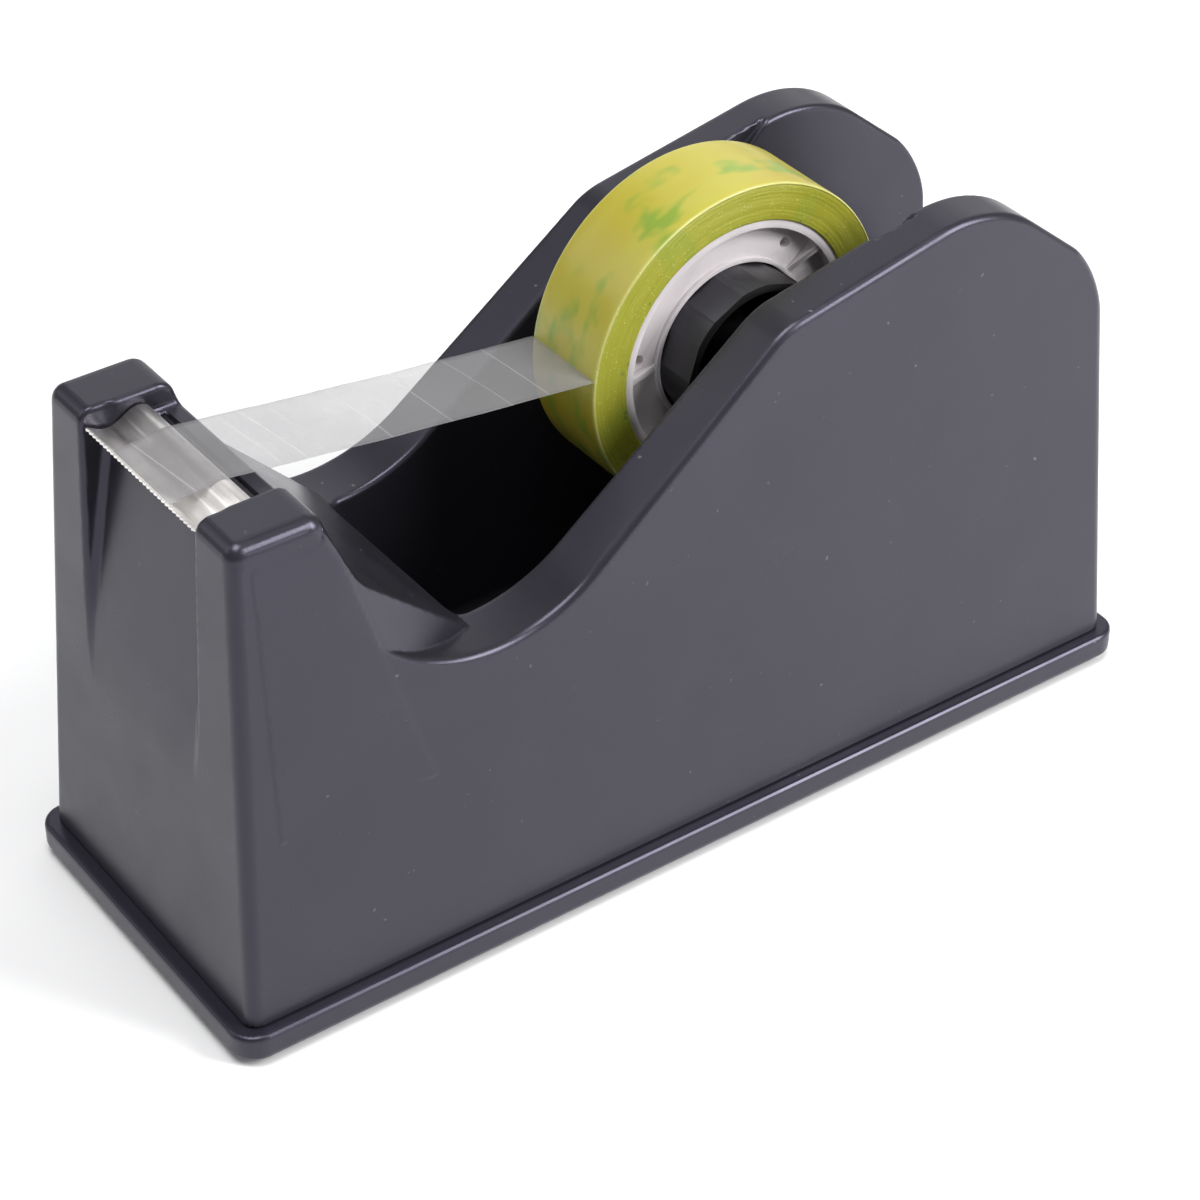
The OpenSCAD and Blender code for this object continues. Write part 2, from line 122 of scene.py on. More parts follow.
def surface(field, low, high, step):
    """Quads on the zero surface of a field, from one vertex in each grid cell that it crosses."""
    axes = [np.arange(a, b + step, step) for a, b in zip(low, high)]
    value = field(axes[0][:, None, None], axes[1][None, :, None], axes[2][None, None, :])
    value = np.broadcast_to(value, [len(a) for a in axes])
    inside = value < 0
    total = np.zeros([len(a) - 1 for a in axes] + [3])
    count = np.zeros(total.shape[:3])
    corners = [(i, j, k) for i in (0, 1) for j in (0, 1) for k in (0, 1)]
    cells = tuple(slice(0, n) for n in total.shape[:3])

    def shifted(grid, c):
        return grid[tuple(slice(o, o + n) for o, n in zip(c, total.shape[:3]))]

    for c in corners:
        for axis in range(3):
            if c[axis]:
                continue
            d = tuple(1 if i == axis else o for i, o in enumerate(c))
            a, b = shifted(value, c), shifted(value, d)
            crossed = (a < 0) != (b < 0)
            part = np.where(crossed, a / np.where(crossed, a - b, 1), 0)
            for i in range(3):
                total[cells + (i,)] += crossed * (c[i] + (part if i == axis else 0))
            count += crossed
    used = count > 0
    index = np.full(used.shape, -1)
    index[used] = np.arange(used.sum())
    where = np.argwhere(used)
    points = (where + total[used] / count[used][:, None]) * step + np.array([a[0] for a in axes])
    quads = []
    for axis in range(3):
        u, v = [i for i in range(3) if i != axis]
        a = inside[tuple(slice(0, -1) if i == axis else slice(1, -1) for i in range(3))]
        b = inside[tuple(slice(1, None) if i == axis else slice(1, -1) for i in range(3))]
        edge = np.argwhere(a != b)
        inward = a[tuple(edge.T)]
        cell = edge.copy()
        ring = []
        for du, dv in ((0, 0), (1, 0), (1, 1), (0, 1)):
            at = cell.copy()
            at[:, u] += du
            at[:, v] += dv
            ring.append(index[tuple(at.T)])
        ring = np.stack(ring, 1)
        flip = inward if axis != 1 else ~inward
        ring[~flip] = ring[~flip][:, ::-1]
        quads.append(ring)
    return points, np.concatenate(quads)


def slope(field, points, reach=0.02):
    """Outward unit normals of a field at some points."""
    normal = np.stack([
        field(*(points + reach * e).T) - field(*(points - reach * e).T) for e in np.eye(3)
    ], 1)
    return normal / np.maximum(np.linalg.norm(normal, axis=1), 1e-9)[:, None]


# ------------------------------------------------------------------ the housing's shape

# The same driving dimensions as the CAD model's, heights measured from the base plate's underside
LEDGE_X, LEDGE_Y = 2.3, 2.8
SIDE_DRAFT, END_DRAFT = 0.0545, 0.0654
SKIN = 2.4
POST_H, POST_D = 97.0, 16.5
POST_FOOT_Y, POST_FOOT_H = 33.8, 68.8
RISE, CLIMB = 38.0, 11.3
TROUGH_W, LIP_Y, LIP_H, FLOOR_H, REAR_LIP_H = 39.0, 54.0, 60.5, 24.0, 58.0
GAP_W, LAND_H = 35.0, 92.4
RISE_Y, KNEE_Y, KNEE_H, CREST_Y, HEEL_H = 55.6, 114.9, 97.3, 160.5, 84.5
FACET_AT, FACET_TURN, FACET_TILT = (24.5, 52.0, 59.0), 23.0, 9.7
RECESS_FOOT, RECESS_D = 52.0, 5.5
SLOT_ANGLE, SLOT_DEPTH, SLOT_W = 42.0, 1.4, 4.4
RAMP_Y, RAMP_FOOT_H = 12.0, 40.0          # front and foot of the ramp's block, inside the walls
BEND_Y, BEND_H = 31.0, 82.0               # where the ramp turns from the posts' gap down to the lip
LIP_BACK, LIP_DROP = 0.6, 0.8             # the ramp's rear end, just past the trough's lip
TROUGH_LEAN, REAR_LEAN = 5.0, 3.0         # how far the trough's end faces lean in at its floor
POCKET_Y, POCKET_HALF, POCKET_H, POCKET_STEP = 20.0, 3.4, 80.0, 1.0
GAP_RUN = 12.0                            # how far the gap's cut runs behind the posts
RECESS_SIDE = 0.3                         # the front recess is this much wider than the gap, each side
TOP_H = 107.0                             # a height that nothing of the housing reaches
REACH = 60.0                              # how far cutting outlines run past the solid
LAP = 1.0                                 # overlap of shapes that are joined or cut

CORNER_R = 2.5                            # upright corners and the outer edges of the posts' tops
RIM_R = 1.3                               # outer edge of the walls' tops
EDGE_R = 0.5                              # outer edge of the posts' rear sides
INNER_R = 1.0                             # inner edge of the walls' tops
CREST_R, KNEE_R, VALLEY_R, POST_R = 25.0, 14.0, 31.0, 3.0
BEND_R, TROUGH_R, TROUGH_CORNER_R = 14.0, 9.0, 2.5
FRONT_TOP_R, REAR_TOP_R = 2.6, 7.0        # the outline's upper corners at the two ends
FACET_R, RAMP_R, GAP_R, GAP_EDGE_R = 0.4, 0.5, 1.0, 0.9
RECESS_R, RECESS_EDGE_R = 1.6, 1.0
FILLET, SHARP_R = 0.3, 0.2                # inner corners, and edges that look sharp
POST_FADE = (42.0, 32.0)                  # from the front edge: where the posts' small round begins
END_FADE = (12.0, 6.0)                    # from the ends: where the corners' large round begins
TOP_FADE = (88.0, 94.0)                   # heights: where the posts' tops get the large round
HALF_W = base_high[0] - LEDGE_X
LENGTH = base_high[1] - base_low[1]


def front_y(h):
    return LEDGE_Y + END_DRAFT * (h - SEAT)


def rear_y(h):
    return LENGTH - LEDGE_Y - END_DRAFT * (h - SEAT)


def wall_profile():
    """Outline of the walls seen from the side, past both ends of the housing."""
    rise_h = KNEE_H - (KNEE_Y - RISE_Y) * math.tan(math.radians(RISE))
    crest_h = KNEE_H + (CREST_Y - KNEE_Y) * math.tan(math.radians(CLIMB))
    heel_y = rear_y(HEEL_H)
    fall = (crest_h - HEEL_H) / (heel_y - CREST_Y)
    return rounded([
        (-REACH, -REACH, 0), (LENGTH + REACH, -REACH, 0),
        (LENGTH + REACH, HEEL_H - fall * (LENGTH + REACH - heel_y), 0),
        (CREST_Y, crest_h, CREST_R), (KNEE_Y, KNEE_H, KNEE_R), (RISE_Y, rise_h, VALLEY_R),
        (POST_FOOT_Y, POST_FOOT_H, POST_R), (front_y(POST_H) + POST_D, POST_H, POST_R),
        (-REACH, POST_H, 0)])


def ramp_profile():
    """Outline of the block between the posts' gap and the trough's lip, with the ramp on its rear."""
    post = front_y(POST_H) + POST_D
    return rounded([
        (RAMP_Y, RAMP_FOOT_H, 0), (LIP_Y + LAP, RAMP_FOOT_H, 0),
        (LIP_Y + LIP_BACK, LIP_H - LIP_DROP, 0), (BEND_Y, BEND_H, BEND_R),
        (post, LAND_H + 2 * LAP, 0), (post - LAP, LAND_H, 0), (RAMP_Y, LAND_H, 0)])


def trough_profile():
    """Outline of the space between the walls, from the lip to past the open rear."""
    rear = rear_y(REAR_LIP_H) - SKIN
    return rounded([
        (LIP_Y, LIP_H + LAP, 0), (LIP_Y + TROUGH_LEAN, FLOOR_H, TROUGH_R),
        (rear - REAR_LEAN, FLOOR_H, TROUGH_R), (rear, REAR_LIP_H, 0), (LENGTH + REACH, REAR_LIP_H, 0),
        (LENGTH + REACH, 2 * POST_H, 0), (LIP_Y, 2 * POST_H, 0)])


WALL, RAMP, TROUGH = wall_profile(), ramp_profile(), trough_profile()


def ease(value, start, end):
    """0 at the start, 1 at the end, and straight between them."""
    return np.clip((value - start) / (end - start), 0, 1)


def rim_radius(u, h):
    """Round of the housing's outer edge: slight on the posts' rear sides, large at tops and corners."""
    post = ease(u, *POST_FADE)
    ends = ease(np.minimum(u, LENGTH - u) - LEDGE_Y, *END_FADE)
    large = np.maximum(ends, post * ease(h, *TOP_FADE))
    radius = RIM_R + post * (EDGE_R - RIM_R)
    return radius + large * (CORNER_R - radius)


def housing_solid(x, u, h):
    """The housing before it is hollowed. x is across, u from the front edge, h from the underside."""
    far = np.abs(x)
    side = far - (HALF_W - SIDE_DRAFT * (h - SEAT))
    ends = np.maximum(front_y(h) - u, u - rear_y(h))
    elevation = meet(outline(WALL, u, h), ends, np.where(u < LENGTH / 2, FRONT_TOP_R, REAR_TOP_R))
    solid = meet(elevation, side, rim_radius(u, h))
    turn, tilt = math.radians(FACET_TURN), math.radians(FACET_TILT)
    facet = ((far - FACET_AT[0]) * math.cos(turn) + (u - FACET_AT[1]) * math.sin(turn)) * math.cos(tilt)
    facet = facet + (h - FACET_AT[2]) * math.sin(tilt)
    ramp = meet(meet(outline(RAMP, u, h), facet, FACET_R), side, RAMP_R)
    solid = join(solid, ramp, FILLET)
    gap = meet(meet(far - GAP_W / 2, LAND_H - h, GAP_R), u - front_y(POST_H) - POST_D - GAP_RUN, GAP_R)
    solid = cut(solid, gap, GAP_EDGE_R)
    lean = RECESS_D / (LAND_H - RECESS_FOOT) + END_DRAFT
    slant = (u - front_y(RECESS_FOOT) - lean * (h - RECESS_FOOT)) / math.hypot(1, lean)
    solid = cut(solid, meet(far - GAP_W / 2 - RECESS_SIDE, slant, RECESS_R), RECESS_EDGE_R)
    pocket = np.maximum(np.abs(u - POCKET_Y) - POCKET_HALF, POCKET_H - h)
    pocket = np.maximum(far - GAP_W / 2 + POCKET_STEP, pocket)
    solid = cut(solid, pocket, SHARP_R)
    trough = meet(outline(TROUGH, u, h), far - TROUGH_W / 2, TROUGH_CORNER_R)
    return cut(solid, trough, INNER_R)


def housing_field(x, y, z):
    """The housing as a shell that is open below, with slots for the axle in the trough's sides."""
    u, h = y - FRONT, z - UNDER
    solid = housing_solid(x, u, h)
    shell = cut(meet(solid, SEAT - h, SHARP_R), solid + SKIN, FILLET)
    along = u - AXIS[1] + FRONT
    up = z - AXIS[2]
    angle = math.radians(SLOT_ANGLE)
    run = along * math.cos(angle) + up * math.sin(angle)
    off = up * math.cos(angle) - along * math.sin(angle)
    channel = np.hypot(np.maximum(-run, 0), off) - SLOT_W / 2
    slots = meet(channel, np.abs(np.abs(x) - TROUGH_W / 2) - SLOT_DEPTH, SHARP_R)
    return cut(shell, slots, FILLET)


# ------------------------------------------------------------------ meshes

FIELD_STEP = 0.6                          # grid of the housing and the base plate
FLAT_ANGLE = 0.35                         # degrees: faces that turn less than this are joined
TILE_KEY, TILE_GROUPS = (7, 31, 131), 997
HARD_ANGLE, BIG_FACE = 5, 1.2             # degrees, and steps: larger faces than this stay flat


def mesh_object(name, points, faces, material=None, smooth=True):
    mesh = bpy.data.meshes.new(name)
    mesh.from_pydata((np.asarray(points) * MM).tolist(), [], [list(map(int, f)) for f in faces])
    mesh.validate()
    mesh.update()
    if smooth:
        mesh.polygons.foreach_set("use_smooth", [True] * len(mesh.polygons))
    piece = bpy.data.objects.new(name, mesh)
    bpy.context.scene.collection.objects.link(piece)
    if material:
        mesh.materials.append(material)
    return piece


def settle(piece):
    """Applies a piece's modifiers, so that its mesh is what is seen."""
    graph = bpy.context.evaluated_depsgraph_get()
    mesh = bpy.data.meshes.new_from_object(piece.evaluated_get(graph))
    piece.modifiers.clear()
    old = piece.data
    piece.data = mesh
    bpy.data.meshes.remove(old)
    mesh.name = piece.name
    return piece


def field_piece(name, field, low, high, step, material, tile=12.0):
    """A piece from a field: flat areas become large faces, and normals come from the field."""
    points, quads = surface(field, np.asarray(low) - 2 * step, np.asarray(high) + 2 * step, step)
    piece = mesh_object(name, points, quads, material)
    cell = np.floor(points[quads].mean(1) / tile).astype(int)
    group = (cell * TILE_KEY).sum(1) % TILE_GROUPS    # flat faces are joined inside one tile only
    piece.data.polygons.foreach_set("material_index", group)
    thin = piece.modifiers.new("flat areas", "DECIMATE")
    thin.decimate_type = "DISSOLVE"
    thin.angle_limit = math.radians(FLAT_ANGLE)
    thin.delimit = {"MATERIAL"}
    settle(piece)
    piece.data.polygons.foreach_set("material_index", [0] * len(piece.data.polygons))
    triangles = piece.modifiers.new("triangles", "TRIANGULATE")
    triangles.quad_method = "BEAUTY"
    settle(piece)
    mesh = piece.data
    co = np.empty(len(mesh.vertices) * 3)
    mesh.vertices.foreach_get("co", co)
    co = co.reshape(-1, 3) / MM
    for _ in range(2):
        normal = slope(field, co)
        co = co - normal * np.clip(field(*co.T), -step / 2, step / 2)[:, None]
    mesh.vertices.foreach_set("co", (co * MM).ravel())
    mesh.update()
    normal = slope(field, co)
    loops = np.empty(len(mesh.loops), int)
    mesh.loops.foreach_get("vertex_index", loops)
    corner = normal[loops]
    area = np.empty(len(mesh.polygons))
    mesh.polygons.foreach_get("area", area)
    flat = np.empty(len(mesh.polygons) * 3)
    mesh.polygons.foreach_get("normal", flat)
    owner = np.repeat(np.arange(len(mesh.polygons)), 3)
    flat = flat.reshape(-1, 3)[owner]
    sharp = (corner * flat).sum(1) < math.cos(math.radians(HARD_ANGLE))
    sharp &= area[owner] > (BIG_FACE * step * MM) ** 2
    corner[sharp] = flat[sharp]
    mesh.polygons.foreach_set("use_smooth", [True] * len(mesh.polygons))
    mesh.normals_split_custom_set(corner.tolist())
    return piece


def box_outline(half_u, half_v, r, u, v):
    """Field of a rounded rectangle about the origin."""
    a, b = np.abs(u) - half_u + r, np.abs(v) - half_v + r
    return np.hypot(np.maximum(a, 0), np.maximum(b, 0)) + np.minimum(np.maximum(a, b), 0) - r


PLAN_R, PLATE_R, HOLLOW_R = 5.0, 0.8, 3.0
RIB_W, WEB_T, WEB_R = 2.0, 2.4, 0.4       # rim inside the housing's shell, and the web within it
SCREW_HEAD_R, BOSS_R, SCREW_HOLE_R = 3.0, 3.8, 1.8
HEAD_HOLE_R, HEAD_HOLE_DEPTH = 3.3, 1.4
FOOT_GAP = 0.1


def base_field(x, y, z):
    """The base plate: a rounded plate hollowed from above, with screw bosses and seats for the feet."""
    h = z - UNDER
    slab = np.abs(h - SEAT / 2) - SEAT / 2
    plate = meet(box_outline(base_high[0], LENGTH / 2, PLAN_R, x, y), slab, PLATE_R)
    inner = box_outline(HALF_W - SKIN - RIB_W, LENGTH / 2 - LEDGE_Y - SKIN - RIB_W, HOLLOW_R, x, y)
    plate = cut(plate, np.maximum(inner, WEB_T - h), WEB_R)
    screws = cad("base_screws")[1]
    screw_x, screw_y = screws[0] - SCREW_HEAD_R, screws[1] - SCREW_HEAD_R
    off_screw = np.hypot(np.abs(x) - screw_x, np.abs(y) - screw_y)
    plate = join(plate, meet(off_screw - BOSS_R, slab, FILLET), WEB_R)
    plate = cut(plate, off_screw - SCREW_HOLE_R, SHARP_R / 2)
    plate = cut(plate, np.maximum(off_screw - HEAD_HOLE_R, h - HEAD_HOLE_DEPTH), SHARP_R)
    low, high = cad("foot_rear_right")
    centre, r = (low + high) / 2, (high[0] - low[0]) / 2 + FOOT_GAP
    seat = np.hypot(np.abs(x) - abs(centre[0]), np.abs(y) - abs(centre[1])) - r
    return cut(plate, np.maximum(seat, z - high[2]), SHARP_R)


# ------------------------------------------------------------------ materials

class Look:
    """A node material that is written top down."""

    def __init__(self, name, **sockets):
        self.material = bpy.data.materials.new(name)
        self.material.use_nodes = True
        self.tree = self.material.node_tree
        self.shader = self.tree.nodes["Principled BSDF"]
        for key, value in sockets.items():
            self.shader.inputs[key.replace("_", " ")].default_value = value
        self.place = self.add("ShaderNodeTexCoord").outputs["Object"]

    def add(self, kind, **settings):
        node = self.tree.nodes.new(kind)
        for key, value in settings.items():
            setattr(node, key, value)
        return node

    def link(self, value, socket):
        if isinstance(value, bpy.types.NodeSocket):
            self.tree.links.new(value, socket)
        else:
            socket.default_value = value

    def math(self, operation, *values, clamp=False):
        node = self.add("ShaderNodeMath", operation=operation, use_clamp=clamp)
        for value, socket in zip(values, node.inputs):
            self.link(value, socket)
        return node.outputs[0]

    def stretch(self, scale, turn=(0, 0, 0), origin=(0, 0, 0)):
        """Object coordinates, moved, turned and scaled."""
        node = self.add("ShaderNodeMapping", vector_type="TEXTURE")
        node.inputs["Location"].default_value = origin
        node.inputs["Rotation"].default_value = turn
        node.inputs["Scale"].default_value = scale
        self.link(self.place, node.inputs["Vector"])
        return node.outputs[0]

    def noise(self, size, detail=3.0, rough=0.5, at=None, distort=0.0):
        """Noise whose blobs are about size metres across."""
        node = self.add("ShaderNodeTexNoise")
        self.link(at or self.place, node.inputs["Vector"])
        node.inputs["Scale"].default_value = 1 / size
        node.inputs["Detail"].default_value = detail
        node.inputs["Roughness"].default_value = rough
        node.inputs["Distortion"].default_value = distort
        return node.outputs["Fac"]

    def specks(self, pitch, size, at=None):
        """1 in small round specks, one in each cell of pitch metres, else 0."""
        node = self.add("ShaderNodeTexVoronoi", feature="F1")
        self.link(at or self.place, node.inputs["Vector"])
        node.inputs["Scale"].default_value = 1 / pitch
        scatter = self.math("MULTIPLY", self.noise(pitch * 3, 0.0), 2 * size / pitch)
        return self.fit(node.outputs["Distance"], scatter, 0.0)

    def fit(self, value, low, high, to_low=0.0, to_high=1.0):
        node = self.add("ShaderNodeMapRange")
        for socket, v in zip(node.inputs, (value, low, high, to_low, to_high)):
            self.link(v, socket)
        return node.outputs[0]

    def blend(self, share, a, b):
        node = self.add("ShaderNodeMix", data_type="RGBA")
        self.link(share, node.inputs["Factor"])
        for value, socket in ((a, node.inputs[6]), (b, node.inputs[7])):
            self.link((*value, 1.0) if isinstance(value, tuple) else value, socket)
        return node.outputs[2]

    def bump(self, height, depth, strength=1.0):
        node = self.add("ShaderNodeBump")
        node.inputs["Strength"].default_value = strength
        node.inputs["Distance"].default_value = depth
        self.link(height, node.inputs["Height"])
        previous = self.shader.inputs["Normal"].links
        if previous:
            self.link(previous[0].from_socket, node.inputs["Normal"])
        self.link(node.outputs[0], self.shader.inputs["Normal"])

    def set(self, socket, value):
        self.link((*value, 1.0) if isinstance(value, tuple) else value, self.shader.inputs[socket])


def moulded(name, dark, light, rough=(0.27, 0.36), grain=0.00035, dust=0.5, bump=0.000012):
    """Satin moulded plastic: faint flow marks, a fine grain and specks of dust."""
    look = Look(name, IOR=1.54, Specular_Tint=(0.80, 0.77, 1.0, 1.0))
    flow = look.noise(0.03, 4.0, 0.55, distort=0.4)
    colour = look.blend(look.fit(flow, 0.3, 0.7), dark, light)
    speck = look.specks(0.0065, 0.00011)
    hair = look.fit(look.noise(0.0016, 2.0), 0.74, 0.8)
    dirt = look.math("MULTIPLY", look.math("MAXIMUM", speck, hair), dust, clamp=True)
    look.set("Base Color", look.blend(dirt, colour, tuple(min(1, 5 * c + 0.12) for c in light)))
    wear = look.fit(look.noise(0.012, 3.0, 0.6), 0.3, 0.7, *rough)
    look.set("Roughness", look.math("ADD", wear, look.math("MULTIPLY", dirt, 0.3)))
    look.bump(look.noise(grain, 2.0, 0.6), bump)
    return look.material


def steel(name, colour, rough, axis=0, fine=0.00012, bump=0.000004):
    """Drawn or rolled steel, with fine lines along one axis."""
    look = Look(name, Metallic=1.0)
    scale = [fine * 10] * 3
    scale[axis] = 0.02
    lines = look.noise(1.0, 3.0, 0.7, at=look.stretch(scale))
    smear = look.noise(0.006, 3.0, 0.6)
    tint = tuple(0.78 * c for c in colour)
    look.set("Base Color", look.blend(look.fit(smear, 0.35, 0.7), colour, tint))
    look.set("Roughness", look.math("ADD", look.fit(lines, 0.2, 0.8, *rough),
                                    look.fit(smear, 0.4, 0.8, 0.0, 0.08)))
    look.bump(lines, bump)
    return look.material


def rubber(name, colour):
    look = Look(name)
    mottle = look.noise(0.003, 4.0, 0.6)
    look.set("Base Color", look.blend(mottle, colour, tuple(1.8 * c + 0.01 for c in colour)))
    look.set("Roughness", look.fit(mottle, 0.3, 0.7, 0.65, 0.85))
    look.bump(look.noise(0.0004, 3.0, 0.6), 0.00003)
    return look.material


def reel_coordinates(look):
    """Distance from the reel's axis, turn round it, and place along it, from object coordinates."""
    split = look.add("ShaderNodeSeparateXYZ")
    look.link(look.place, split.inputs[0])
    y = look.math("SUBTRACT", split.outputs["Y"], float(AXIS[1]) * MM)
    z = look.math("SUBTRACT", split.outputs["Z"], float(AXIS[2]) * MM)
    square = look.math("ADD", look.math("MULTIPLY", y, y), look.math("MULTIPLY", z, z))
    return look.math("SQRT", square), look.math("ARCTAN2", z, y), split.outputs["X"]


def wound_tape():
    """Translucent yellow-green wound film with green blotches and fine rings on its sides, painted glints
    on the sides and a painted highlight along the rim edges.
    """
    look = Look("Wound_Tape", IOR=1.48, Coat_Weight=0.25, Coat_Roughness=0.2)
    radius, turn, along = reel_coordinates(look)
    outer = float(roll_high[2] - AXIS[2]) * MM
    at = look.add("ShaderNodeCombineXYZ")
    look.link(look.math("MULTIPLY", turn, 0.018), at.inputs["X"])
    look.link(along, at.inputs["Y"])
    look.link(look.math("MULTIPLY", radius, 0.5), at.inputs["Z"])
    swirl = at.outputs[0]
    blotch = look.fit(look.noise(0.0055, 2.0, 0.5, at=swirl, distort=0.2), 0.53, 0.66)
    tone = look.fit(look.noise(0.016, 2.0, 0.5, at=swirl), 0.35, 0.65)
    body = look.blend(tone, (0.38, 0.315, 0.022), (0.41, 0.38, 0.05))
    body = look.blend(look.math("MULTIPLY", blotch, 0.8), body, (0.17, 0.30, 0.03))
    rings = look.add("ShaderNodeCombineXYZ")
    look.link(radius, rings.inputs["X"])
    look.link(look.math("MULTIPLY", turn, 0.0006), rings.inputs["Y"])
    ring = look.noise(0.00022, 2.0, 0.7, at=rings.outputs[0])
    side = look.fit(look.math("ABSOLUTE", along), 0.0086, 0.0089)
    body = look.blend(look.math("MULTIPLY", side, 0.75), body, (0.27, 0.285, 0.022))
    paler = look.math("MULTIPLY", side, look.fit(ring, 0.5, 0.8, 0.0, 0.4))
    body = look.blend(paler, body, (0.50, 0.50, 0.13))
    # Painted glints: tiny bright specks on the roll's sides, painted into the colour to stand in for
    # sparkle of light.
    painted_glint = look.math("MULTIPLY", side, look.specks(0.0006, 0.00012), clamp=True)
    body = look.blend(painted_glint, body, (0.62, 0.66, 0.26))
    fleck = look.math("MULTIPLY", look.specks(0.0016, 0.0004), look.fit(radius, 0.0258, 0.0243))
    body = look.blend(look.math("MULTIPLY", fleck, side, clamp=True), body, (0.03, 0.12, 0.06))
    # Painted highlight: the colour is made lighter along the roll's rim edges, where light would catch
    # them.
    painted_rim_highlight = look.math("MULTIPLY", look.fit(look.math("ABSOLUTE", along), 0.0084, 0.009),
                    look.fit(radius, outer - 0.0007, outer - 0.0001))
    look.set("Base Color", look.blend(look.math("MULTIPLY", painted_rim_highlight, 0.3), body, (0.8, 0.78, 0.45)))
    look.set("Roughness", look.fit(side, 0.0, 1.0, 0.3, 0.45))
    look.shader.inputs["Subsurface Weight"].default_value = 0.35
    look.shader.inputs["Subsurface Radius"].default_value = (1.0, 0.9, 0.25)
    look.shader.inputs["Subsurface Scale"].default_value = 0.003
    look.bump(look.math("MULTIPLY", ring, side), 0.00004)
    look.bump(look.noise(0.006, 2.0, 0.5, at=swirl), 0.0001, 0.5)
    return look.material


def core_plastic():
    look = Look("Core_Plastic", IOR=1.5)
    tone = look.noise(0.008, 3.0, 0.55)
    look.set("Base Color", look.blend(tone, (0.58, 0.54, 0.55), (0.68, 0.64, 0.645)))
    look.set("Roughness", look.fit(tone, 0.3, 0.7, 0.34, 0.46))
    look.shader.inputs["Subsurface Weight"].default_value = 0.25
    look.shader.inputs["Subsurface Radius"].default_value = (1.0, 0.85, 0.75)
    look.shader.inputs["Subsurface Scale"].default_value = 0.0015
    look.bump(look.noise(0.0005, 2.0, 0.6), 0.00001)
    return look.material


def tape_film():
    """Clear film with a milky veil, a few soft creases across it and faint wrinkles."""
    look = Look("Tape_Film", IOR=1.3)
    veil = look.noise(0.02, 2.0, 0.5)
    crease = look.noise(1.0, 1.0, 0.5, at=look.stretch((0.9, 0.016, 0.9), turn=(0, 0, 0.12)))
    line = look.fit(look.math("ABSOLUTE", look.math("SUBTRACT", crease, 0.5)), 0.004, 0.0005)
    look.set("Base Color", look.blend(line, (0.27, 0.265, 0.27), (0.42, 0.42, 0.42)))
    haze = look.fit(veil, 0.3, 0.7, 0.31, 0.38)
    look.set("Alpha", look.math("ADD", haze, look.math("MULTIPLY", line, 0.06), clamp=True))
    look.set("Roughness", look.fit(veil, 0.3, 0.7, 0.24, 0.32))
    look.bump(veil, 0.0002, 0.3)
    return look.material


def floor_material():
    look = Look("Floor_Pale")
    tone = look.noise(0.25, 3.0, 0.5)
    look.set("Base Color", look.blend(tone, (0.80, 0.80, 0.80), (0.84, 0.84, 0.84)))
    look.set("Roughness", 0.6)
    return look.material


HOUSING_PLASTIC = moulded("Housing_Plastic", (0.0135, 0.013, 0.0165), (0.0175, 0.017, 0.0215))
BASE_PLASTIC = moulded("Base_Plastic", (0.0115, 0.011, 0.016), (0.0155, 0.015, 0.021), dust=0.9)
INSERT_PLASTIC = moulded("Insert_Plastic", (0.011, 0.011, 0.012), (0.016, 0.016, 0.018))
DRUM_PLASTIC = moulded("Drum_Plastic", (0.013, 0.013, 0.0125), (0.019, 0.019, 0.018), (0.34, 0.42))
CORE_PLASTIC = core_plastic()
WOUND_TAPE = wound_tape()
TAPE_FILM = tape_film()
BLADE_STEEL = steel("Blade_Steel", (0.84, 0.81, 0.78), (0.28, 0.42))
AXLE_STEEL = steel("Axle_Steel", (0.62, 0.62, 0.64), (0.22, 0.36))
SCREW_STEEL = steel("Screw_Steel", (0.55, 0.55, 0.57), (0.25, 0.4), axis=2)
CLIP_STEEL = steel("Clip_Steel", (0.12, 0.12, 0.13), (0.3, 0.45))
BALLAST_STEEL = steel("Ballast_Steel", (0.34, 0.32, 0.31), (0.4, 0.6), axis=1)
WASHER_NYLON = moulded("Washer_Nylon", (0.66, 0.64, 0.58), (0.76, 0.74, 0.68), dust=0.1)
PAD_FOAM = rubber("Pad_Foam", (0.035, 0.035, 0.036))
FOOT_RUBBER = rubber("Foot_Rubber", (0.018, 0.018, 0.018))


# ------------------------------------------------------------------ pieces

def stands_for(piece, body, node):
    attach(piece, body)
    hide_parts(node)
    return piece


def softened(node, name, material, width, segments=2, angle=30.0):
    """A copy of a CAD node with clean flat areas and small rounds on its edges."""
    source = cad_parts[node]
    work = bmesh.new()
    work.from_mesh(source.data)
    bmesh.ops.remove_doubles(work, verts=work.verts, dist=0.002 * MM)
    bmesh.ops.dissolve_limit(work, angle_limit=math.radians(1), verts=work.verts, edges=work.edges)
    mesh = bpy.data.meshes.new(name)
    work.to_mesh(mesh)
    work.free()
    mesh.materials.clear()
    mesh.materials.append(material)
    piece = bpy.data.objects.new(name, mesh)
    bpy.context.scene.collection.objects.link(piece)
    for polygon in mesh.polygons:
        polygon.use_smooth = True
    bevel = piece.modifiers.new("rounds", "BEVEL")
    bevel.width = width * MM
    bevel.segments = segments
    bevel.limit_method = "ANGLE"
    bevel.angle_limit = math.radians(angle)
    bevel.miter_outer = "MITER_ARC"
    bevel.use_clamp_overlap = True
    bevel.harden_normals = True
    return settle(piece)


